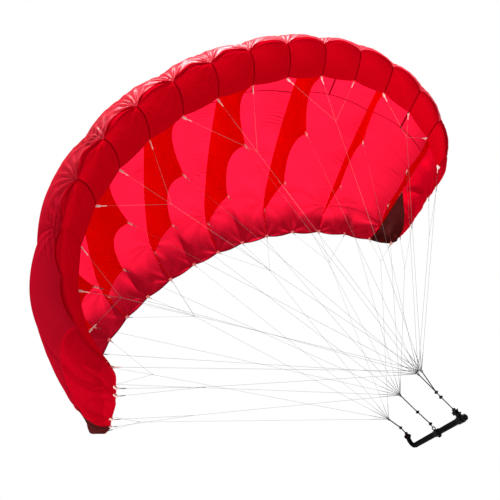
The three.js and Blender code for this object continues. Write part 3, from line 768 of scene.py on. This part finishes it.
class Panel:
    """A grid over the shell between two positions and two places along it, each a function."""

    def __init__(self, rows, columns, first, last, start, end):
        self.v = np.linspace(0, 1, columns)[None, :] + np.zeros((rows, 1))
        low, high = start(self.v), end(self.v)
        share = section_rows(rows, low.min(), high.max())[:, None]
        self.t = lerp(low, high, share)
        self.low = first(self.t)
        self.high = last(self.t)
        self.i = lerp(self.low, self.high, self.v)

    def points(self, lift, reach):
        rib = Rib(self.i)
        return rib.in_space(rib.lifted(self.t, lift, reach))

    def to_sides(self):
        return np.minimum(span_gap(self.i, self.low), span_gap(self.high, self.i))

    def to_hem(self):
        return run_gap(self.i, 1.0, self.t)

    def uv(self, middle):
        return np.stack([span_gap(self.i, middle), CENTRE_CHORD * section_run(self.t)], -1)

    def add(self, name, lift, reach, folds, seam, middle, material, slot, held_by):
        plain = self.points(lift, reach)
        points = self.points(lift + folds, reach)
        cloth = cloth_piece(name, points, self.uv(middle), seam, material, slot)
        # marks the fold troughs for painted shade
        add_mark(cloth, "painted_crease_shade", smoothstep(-folds, *CREASE_SHADE_DEPTH))
        return cloth


def painted_highlight_and_gloss(i, t):
    """1 on the strip drawn tight behind the nose seam, which is glossier and gets a painted pink
    highlight; it fades towards the left tip, which lies in shade.
    """
    behind = run_gap(i, t, NOSE_SEAM)
    return np.exp(-(behind / HIGHLIGHT_REACH) ** 2) * (1 - smoothstep(-i, *HIGHLIGHT_FADE))


def add_canopy():
    for i in range(-LAST_RIB, LAST_RIB, 2):
        panel = Panel(
            *CANOPY_GRID, fixed(i), fixed(i + 2), lambda v: arched_seam(bay_cells(v)), fixed(1.0),
        )
        cell = bay_cells(panel.v)
        lift = cloth_lift(panel.i, one_cell(panel.v), cell, panel.t)
        reach = HEM_BOW * hem_share(panel.t) * cell
        folds = canopy_folds(panel.i, panel.t, i, i + 2)
        cloth = panel.add(
            f"canopy_bay_{label(i + 1)}", lift, reach, folds, panel.to_hem(), i + 1,
            CANOPY_RED, "canopy_cloth", [rib_name(i), rib_name(i + 2)],
        )
        # glossier strip with a painted pink highlight behind the nose seam
        add_mark(cloth, "gloss_and_painted_highlight", painted_highlight_and_gloss(panel.i, panel.t))


def dark_seam(outwards):
    return lerp(DARK_SEAM_AT_RIB, DARK_SEAM_AT_EDGE, outwards)


# Part, rows of its grid, its two ends along the section, material and slot
TIP_PANELS = [
    ("front", 170, lambda out: arched_seam(one_cell(out)), dark_seam, TIP_RED, "nose_cloth"),
    ("rear", 100, dark_seam, fixed(1.0), DARK_CLOTH, "dark_cloth"),
]


def add_tip(side, word):
    def outwards(v):
        return v if side > 0 else 1 - v

    def edge(t):
        return side * tip_position(t)

    rib = fixed(side * LAST_RIB)
    first, last = (rib, edge) if side > 0 else (edge, rib)
    for part, rows, start, end, material, slot in TIP_PANELS:
        panel = Panel(
            rows, TIP_COLUMNS, first, last,
            lambda v, f=start: f(outwards(v)), lambda v, f=end: f(outwards(v)),
        )
        out = outwards(panel.v)
        cell = one_cell(panel.v)
        lift = cloth_lift(panel.i, np.sin(np.pi * out / 2) * cell, cell, panel.t)
        reach = HEM_BOW * hem_share(panel.t) * cell
        panel.add(
            f"tip_{part}_{word}", lift, reach, tip_folds(panel.i, panel.t, side), panel.to_hem(),
            side * LAST_RIB, material, slot, [f"rib_{word}_{LAST_RIB}"],
        )


def add_nose():
    for i in range(-TIP, TIP):
        first = (lambda t: -tip_position(t)) if i == -TIP else fixed(i)
        last = tip_position if i + 1 == TIP else fixed(i + 1)
        panel = Panel(*NOSE_GRID, first, last, fixed(0.0), lambda v: arched_seam(one_cell(v)))
        cell = one_cell(panel.v)
        under = np.minimum(panel.t / NOSE_SEAM, 1)
        past = cloth_lift(panel.i, 0 * cell, cell, panel.t)
        bulge = NOSE_BULGE * fullness(panel.i) * cell * lerp(BULGE_AT_TABS, 1, under)
        lift = np.where(panel.t > NOSE_SEAM, past, bulge + swell(panel.i, cell, panel.t))
        reach = -FRONT_SAG * cell ** ROUNDING["sag"] * (1 - under) ** 2
        hidden = SEAM_HIDDEN * smoothstep(-panel.i, *HIDDEN_CELLS)
        folds = nose_folds(panel.i, panel.t)
        cloth = panel.add(
            f"nose_cell_{label(i if i < 0 else i + 1)}", lift, reach, folds,
            panel.to_sides() + hidden, i, NOSE_RED, "nose_cloth",
            [rib_name(k) for k in (i, i + 1) if abs(k) < TIP],
        )
        # painted shade on the nose panels at their seam, where the cells' tops would show lit
        add_mark(cloth, "painted_seam_shade", smoothstep(run_gap(panel.i, panel.t, NOSE_SEAM), *SEAM_SHADE_RUN))


# Ribs

RIB_FRONT = 0.06
UPPER_FROM = 4 / STATIONS
NOSE_TOP = 6 / STATIONS
RIB_ROWS = 34
RIB_COLUMNS = {"front": 22, "body": 150, "tail": 36}
RIB_LEAST = 0.002         # least height of a rib under its sewn edge
SHORT_RIB_GRID = (40, 18)
SHORT_RIB_REACH = 0.97
RIB_SWELL = 0.0025
RIB_SWELL_TURNS = (9, 7)
RIB_FOLD = 0.0016
RIB_FOLD_REACH = 0.05
RIB_FOLD_RAYS = 9


def rib_foot(rib, row):
    aft, up, _ = RIB_TABS[row]
    clear = TAB_WIDTH / 2 if row == "front" else 0
    return np.array([aft * rib.chord + clear, up * rib.flat * rib.chord])


def free_edge(rib, aft):
    """Height of a full rib's free edge: arcs drawn up between its tabs."""
    roof = SECTION[ROOF_STATION][1] * rib.flat * rib.chord
    rows = list(RIB_TABS)
    height = np.full_like(aft, rib_foot(rib, rows[0])[1])
    for row, after in zip(rows, rows[1:]):
        a, b = rib_foot(rib, row), rib_foot(rib, after)
        share = np.clip((aft - a[0]) / (b[0] - a[0]), 0, 1)
        depth = RIB_TABS[row][2] * (roof - (a[1] + b[1]) / 2)
        arc = lerp(a[1], b[1], share) + depth * 4 * share * (1 - share)
        height = np.where(aft >= a[0], arc, height)
    return height


def at_aft(aft):
    """Place along the upper section that lies aft of the front tab by a share of the chord."""
    upper = SECTION_T >= UPPER_FROM
    return np.interp(aft, SECTION_XY[upper, 0], SECTION_T[upper])


def full_rib_grid(rib):
    """Grid of a full rib in its plane: rows from the free edge up, columns from the nose aft."""
    w = np.linspace(0, 1, RIB_ROWS)[:, None, None]
    last = rib_foot(rib, "fourth")
    t = np.linspace(at_aft(RIB_FRONT), at_aft(last[0] / rib.chord), RIB_COLUMNS["body"])
    top = rib.lifted(t, INSIDE)
    height = np.minimum(free_edge(rib, top[:, 0]), top[:, 1] - RIB_LEAST)
    bottom = np.stack([top[:, 0], height], -1)
    nose = rib.lifted(w[:, 0, 0] * NOSE_TOP, INSIDE)
    aft = np.linspace(0, 1, RIB_COLUMNS["front"])[None, :-1, None]
    front = lerp(nose[:, None], lerp(bottom[:1], top[:1], w), aft)
    t_end = lerp(RIB_TAIL_ALONG, 1, RIB_TAIL_END)
    t_tail = np.linspace(t[-1], t_end, RIB_COLUMNS["tail"])[1:]
    width = np.interp(t_tail, [RIB_TAIL_ALONG, 1], [RIB_TAIL_WIDTH, RIB_TAIL_HEM])
    joining = smoothstep(t_tail, t[-1], RIB_TAIL_ALONG)
    width = lerp(np.linalg.norm(top[-1] - last), width, joining)
    tail_top = rib.lifted(t_tail, INSIDE)
    tail_bottom = rib.lifted(t_tail, INSIDE - width)
    low, high = np.concatenate([bottom, tail_bottom]), np.concatenate([top, tail_top])
    return np.concatenate([front, lerp(low[None], high[None], w)], 1)


def short_rib_grid(rib):
    rows, columns = SHORT_RIB_GRID
    w = np.linspace(0, SHORT_RIB_REACH, rows)
    t = w * SHORT_RIB_END
    nose = rib.lifted(t, INSIDE + np.where(t > NOSE_SEAM, cloth_lift(0.0, 1.0, 0.0, t), 0))
    foot = rib_foot(rib, "front")
    top = rib.lifted(np.array([SHORT_RIB_END]), INSIDE)[0]
    free = lerp(foot[None], top[None], w[:, None])
    free[:, 0] -= top[0] * w * (1 - w)
    return lerp(nose[:, None], free[:, None], np.linspace(0, 1, columns)[None, :, None])


def rib_ripples(rib, grid, rows):
    """Sideways swell of a rib and the tension folds above its tabs."""
    aft, up = grid[..., 0], grid[..., 1]
    a, b = RIB_SWELL_TURNS
    sideways = RIB_SWELL * np.sin(a * aft / rib.chord) * np.sin(b * up / rib.chord + 1)
    for k, row in enumerate(rows):
        foot = rib_foot(rib, row)
        dx, dy = aft - foot[0], up - foot[1]
        r = np.hypot(dx, dy) / RIB_FOLD_REACH
        wave = np.sin(RIB_FOLD_RAYS * np.arctan2(dx, dy) + k)
        sideways += RIB_FOLD * wave * r * np.exp(1 - r)
    return sideways


def add_rib(i):
    rib = Rib(float(i))
    full = i % 2 != 0
    grid = full_rib_grid(rib) if full else short_rib_grid(rib)
    rows = list(RIB_TABS) if full else ["front"]
    flat = np.zeros(grid.shape[:2])
    points = rib.in_space(grid, rib_ripples(rib, grid, rows))
    plain = rib.in_space(grid, flat)
    bays = [k for k in (i - 1, i + 1) if abs(k) < LAST_RIB] if full else [i]
    held_by = [f"canopy_bay_{label(k)}" for k in bays]
    cloth_piece(rib_name(i), points, grid, flat + 1, RIB_RED, "rib_cloth")


# Tabs, lines and knots

STEEP = 0.9               # rise from which a tube is built about another axis
KNOT_STEPS = 43
LINE_KNOT = 0.0026
GATHER_KNOT = (0.0058, 0.0018)      # size and radius
LEADER_KNOT = (0.0062, 0.0021)
SPLICE_LENGTH = 0.090
SPLICE_SHAPE = LINE_RADIUS * np.array([1.2, 1.8, 2.0, 2.0, 1.8])
SLEEVE_SIDES = 8
SLEEVE_LENGTH = 0.026
SLEEVE_RADIUS = 0.0021
SLEEVE_SHAPE = SLEEVE_RADIUS * np.array([0.7, 1, 1, 0.9, 0.55])
LINE_START = 0.9          # share of a tab's drop at which its line begins
WEBBING = 0.0007
TAB_HALF = 0.45 * TAB_WIDTH
TAB_THICK = 0.0011
TAB_HOLD = 0.013
# A tab's loop: out in TAB_THICK, down in TAB_DROP
TAB_LOOP = [(1.2, 0.0), (1.6, 0.6), (1.0, 0.9), (0.0, 1.0), (-1.0, 0.9), (-1.6, 0.6), (-1.2, 0.0)]
TAG_WIDTH = 0.022
TAG_DROP = 0.016
TAG_HOLD = 0.013
# A tag's corners: along in TAG_WIDTH and how far inwards; then half its thickness at each end
TAG_SEWN = ((-0.5, TAG_HOLD), (0.5, TAG_HOLD), (-0.45, 0.0), (0.45, 0.0))
TAG_POINT = (-0.12, 0.12)
TAG_OFF_CLOTH = 0.0016
TAG_OFF_LINE = 0.0006
# Points that give a tag its ways: steps at the tips, then places along the section
TIP_TAG_INWARDS = 0.2
TIP_TAG_BESIDE = 0.01
FRONT_TAG_INWARDS = 0.06
REAR_TAG_INWARDS = 0.985


def tube(points, radius, sides=6):
    """Vertices and faces of a tube along points; radius may vary along it."""
    points = np.asarray(points, float)
    way = unit(np.gradient(points, axis=0))
    one = unit(np.cross(way, (0, 0, 1) if abs(way[0][2]) < STEEP else (1, 0, 0)))
    two = np.cross(way, one)
    turn = np.linspace(0, 2 * np.pi, sides, endpoint=False)[None, :, None]
    ring = np.cos(turn) * one[:, None] + np.sin(turn) * two[:, None]
    radius = np.broadcast_to(np.asarray(radius, float), len(points))
    vertices = (points[:, None] + ring * radius[:, None, None]).reshape(-1, 3)
    faces = grid_faces(len(points), sides, wrap=True)
    last = len(vertices) - sides
    faces += [tuple(range(sides - 1, -1, -1)), tuple(range(last, last + sides))]
    return vertices, faces


def joined(name, parts, material):
    vertices, faces = [], []
    start = 0
    for points, polygons in parts:
        vertices.append(points)
        faces += [tuple(k + start for k in face) for face in polygons]
        start += len(points)
    return mesh_object(name, np.concatenate(vertices), faces, material)


def knot(centre, size, radius, way):
    """An overhand knot: a tube along a trefoil, set across the line's way."""
    a = np.linspace(0, 2 * np.pi, KNOT_STEPS)
    x, y = np.sin(a) + 2 * np.sin(2 * a), np.cos(a) - 2 * np.cos(2 * a)
    flat = np.stack([x, y, -np.sin(3 * a)], -1) / 3
    turn = np.array(Vector((0, 1, 0)).rotation_difference(Vector(way)).to_matrix())
    return tube(np.asarray(centre) + size * flat @ turn.T, radius)


def straight(a, b, steps=2):
    return lerp(np.asarray(a)[None], np.asarray(b)[None], np.linspace(0, 1, steps)[:, None])


class RibFoot:
    """A line's upper end at a tab of rib i: a webbing loop round the rib's edge."""

    def __init__(self, i, row):
        self.rib = Rib(float(i))
        self.foot = rib_foot(self.rib, row)
        self.place = self.rib.in_space(self.foot)
        self.bead = self.rib.in_space(self.foot - np.array([0, TAB_DROP]))

    def strip(self, way):
        aft = unit(np.array([0.0, 1.0, 0.0]) - way[1] * way)
        along = self.rib.along
        held = self.place + TAB_HOLD * self.rib.up
        path = [
            self.place + out * TAB_THICK * along + down * TAB_DROP * way for out, down in TAB_LOOP
        ]
        path = [held + TAB_THICK * along, *path, held - TAB_THICK * along]
        points = [p + side * TAB_HALF * aft for p in path for side in (-1, 1)]
        return np.array(points), grid_faces(len(path), 2)

    def end(self, way):
        return self.place + LINE_START * TAB_DROP * way


class EdgeFoot:
    """A line's upper end at the cloth's edge: a pointed tag sewn on the edge, on both faces."""

    def __init__(self, place, along, inwards):
        self.place = self.bead = place
        self.along = unit(along)
        self.inwards = unit(inwards)

    def strip(self, way):
        face = unit(np.cross(self.along, self.inwards))
        points = []
        for out in (-1, 1):
            for share, reach in TAG_SEWN:
                sewn = self.place + share * TAG_WIDTH * self.along + reach * self.inwards
                points.append(sewn + out * TAG_OFF_CLOTH * face)
            for share in TAG_POINT:
                end = self.place + share * TAG_WIDTH * self.along + TAG_DROP * way
                points.append(end + out * TAG_OFF_LINE * face)
        return np.array(points), grid_faces(3, 2) + grid_faces(3, 2, 6)

    def end(self, way):
        return self.place + LINE_START * TAG_DROP * way


def shell_point(i, t):
    rib = Rib(i)
    return rib.in_space(rib.section(np.array(t)))


def tip_edge(side, t, inwards=0.0):
    return shell_point(side * (float(tip_position(t)) - inwards), t)


def tip_foot(side, t):
    place = tip_edge(side, t)
    along = tip_edge(side, t + TIP_TAG_BESIDE) - tip_edge(side, t - TIP_TAG_BESIDE)
    return EdgeFoot(place, along, tip_edge(side, t, TIP_TAG_INWARDS) - place)


def tip_front_foot(side):
    place = tip_edge(side, 0.0)
    inwards = tip_edge(side, FRONT_TAG_INWARDS) - place
    return EdgeFoot(place, Rib(float(side * TIP)).along, inwards)


def trailing_foot(i):
    """The last tag at each end sits on the cloth's corner, a little short of the tip's position."""
    at = math.copysign(min(abs(i), float(tip_position(1.0))), i)
    place = shell_point(at, 1.0)
    return EdgeFoot(place, Rib(at).along, shell_point(at, REAR_TAG_INWARDS) - place)


def middle(place):
    return np.array([0.0, *place])


class Row:
    """One row of the bridle while it is put together: its lines, splices, sleeves and tabs."""

    def __init__(self, name):
        self.name = name
        self.end = middle(GATHERS[name])
        self.lines, self.splices, self.sleeves, self.tabs = [], [], [], []

    def run(self, start, to):
        self.lines.append(tube(straight(start, to), LINE_RADIUS))

    def splice(self, start):
        """The end of a line at the gather, spliced back on itself."""
        first = self.end - SPLICE_LENGTH * unit(self.end - start)
        self.splices.append(tube(straight(first, self.end, len(SPLICE_SHAPE)), SPLICE_SHAPE))

    def line(self, foot, to):
        way = unit(to - foot.place)
        start = foot.end(way)
        self.tabs.append(foot.strip(way))
        self.run(start, to)
        if to is self.end:
            self.splice(start)
        run = straight(start, start + SLEEVE_LENGTH * way, len(SLEEVE_SHAPE))
        self.sleeves.append(tube(run, SLEEVE_SHAPE, SLEEVE_SIDES))

    def group(self, feet, share):
        point = lerp(np.mean([foot.bead for foot in feet], axis=0), self.end, share)
        for foot in feet:
            self.line(foot, point)
        self.run(point, self.end)
        self.splice(point)
        self.lines.append(knot(point, LINE_KNOT, LINE_RADIUS, unit(self.end - point)))

    def finish(self):
        self.lines.append(knot(self.end, *GATHER_KNOT, (0, 0, 1)))
        row = f"bridle_{self.name}_"
        pale = TAB_PINK if self.name == "front" else LINE_GREY
        lines = joined(row + "lines", self.lines, LINE_GREY)
        splices = joined(row + "splices", self.splices, SPLICE_GREY)
        sleeves = joined(row + "sleeves", self.sleeves, pale)
        tabs = joined(row + "tabs", self.tabs, TAB_PINK)
        skin = tabs.modifiers.new("thickness", "SOLIDIFY")
        skin.thickness = WEBBING
        for obj in (lines, splices, sleeves, tabs):
            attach(obj, "root")
        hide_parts(f"bridle_{self.name}")


def add_bridle():
    row = Row("front")
    for numbers, share in FRONT_GROUPS:
        row.group([RibFoot(i, "front") for i in numbers], share)
    for side in (-1, 1):
        row.line(tip_front_foot(side), row.end)
    row.finish()
    for name in ("second", "third"):
        row = Row(name)
        for i in range(-LAST_RIB, LAST_RIB + 1, 2):
            row.line(RibFoot(i, name), row.end)
        for side in (-1, 1):
            row.group([tip_foot(side, t) for t in TIP_TABS[name]], TIP_KNOT_SHARE)
        row.finish()
    row = Row("trailing")
    for numbers, share in TRAILING_GROUPS:
        inner = [i for i in numbers if i % 2 and abs(i) < FOURTH_TABS_WITHIN]
        feet = [trailing_foot(i) for i in numbers] + [RibFoot(i, "fourth") for i in inner]
        row.group(feet, share)
    row.finish()


def add_leader(name, rows, tail=None):
    points = [middle(place) for place in LEADERS[name]]
    legs = [straight(middle(GATHERS[row]), points[0], LEADER_STEPS["leg"]) for row in rows]
    run = points + ([middle(tail)] if tail else [])
    legs += [straight(a, b, LEADER_STEPS["run"]) for a, b in zip(run, run[1:])]
    parts = [tube(leg, LEADER_RADIUS[name], LEADER_SIDES) for leg in legs]
    for k, point in enumerate(points):
        way = points[min(k + 1, len(points) - 1)] - points[max(k - 1, 0)]
        parts.append(knot(point, *LEADER_KNOT, unit(way)))
    obj = joined(f"leader_{name}_cord", parts, LEADER_BLACK)
    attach(obj, "root")
    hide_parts(f"leader_{name}")


# Bar

BAR_EDGE = 0.0012


def dress_bar():
    foam = ("bar_tube", "rear_horn")
    for name in (*foam, "bar_knob", "front_cleat", "middle_fitting", "rear_lip"):
        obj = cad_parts[name]
        obj.data.materials.clear()
        obj.data.materials.append(GRIP_BLACK if name in foam else FITTING_BLACK)
        bevel = obj.modifiers.new("edges", "BEVEL")
        bevel.width = BAR_EDGE
        bevel.segments = 3
        bevel.limit_method = "ANGLE"
        bevel.harden_normals = True


# Studio

CAMERA_PLACE = (-1.16412, -2.21604, 0.20379)
CAMERA_RIGHT = (0.79225424, -0.13697374, -0.59461871)
CAMERA_DOWN = (-0.46148791, 0.50302561, -0.73074903)
CAMERA_AHEAD = (0.39920187, 0.85334837, 0.33531244)
LENS = 41.52
SENSOR = 36.0
CLIP_END = 200
FLOOR_Z = -1.1
FLOOR_HALF = 60.0
FLOOR_GREY = 0.02
FLOOR_GLOW = 0.90
LIGHTS = {"key": ((0.50, -0.30, 1.0), 14.0, 4), "side": ((-0.9, -0.35, 0.08), 3.7, 30)}
AMBIENT = 1.0


def add_camera():
    data = bpy.data.cameras.new("camera")
    data.lens = LENS
    data.sensor_width = SENSOR
    data.clip_end = CLIP_END
    camera = new_object("camera", data)
    axes = [Vector(CAMERA_RIGHT), -Vector(CAMERA_DOWN), -Vector(CAMERA_AHEAD)]
    camera.matrix_world = Matrix.Translation(CAMERA_PLACE) @ Matrix(axes).transposed().to_4x4()
    bpy.context.scene.camera = camera


def add_studio():
    bpy.context.scene.view_settings.view_transform = "Standard"
    world = bpy.data.worlds.new("studio")
    world.use_nodes = True
    back = world.node_tree.nodes["Background"]
    back.inputs["Color"].default_value = (1, 1, 1, 1)
    back.inputs["Strength"].default_value = AMBIENT
    bpy.context.scene.world = world

    material, tree, output = new_material("studio_floor")
    shader = node(
        tree, "ShaderNodeBsdfPrincipled", Roughness=0.9, Base_Color=(*(FLOOR_GREY,) * 3, 1),
        Specular_IOR_Level=0, Emission_Color=(1, 1, 1, 1), Emission_Strength=FLOOR_GLOW,
    )
    tree.links.new(shader.outputs[0], output.inputs[0])
    ways = ((-1, -1), (1, -1), (1, 1), (-1, 1))
    corners = [(x * FLOOR_HALF, y * FLOOR_HALF, FLOOR_Z) for x, y in ways]
    floor = mesh_object("floor", corners, [(0, 1, 2, 3)], material)

    for name, (source, strength, spread) in LIGHTS.items():
        sun = bpy.data.lights.new(name, "SUN")
        sun.energy = strength
        sun.angle = math.radians(spread)
        lamp = new_object(name, sun)
        lamp.rotation_euler = Vector(source).to_track_quat("Z", "Y").to_euler()


add_camera()
add_studio()
add_canopy()
add_tip(-1, "left")
add_tip(1, "right")
add_nose()
for position in range(-LAST_RIB, LAST_RIB + 1):
    add_rib(position)
add_bridle()
add_leader("front", ["front", "second"])
add_leader("middle", ["third"], EYE_TOP)
add_leader("rear", ["trailing"])
dress_bar()
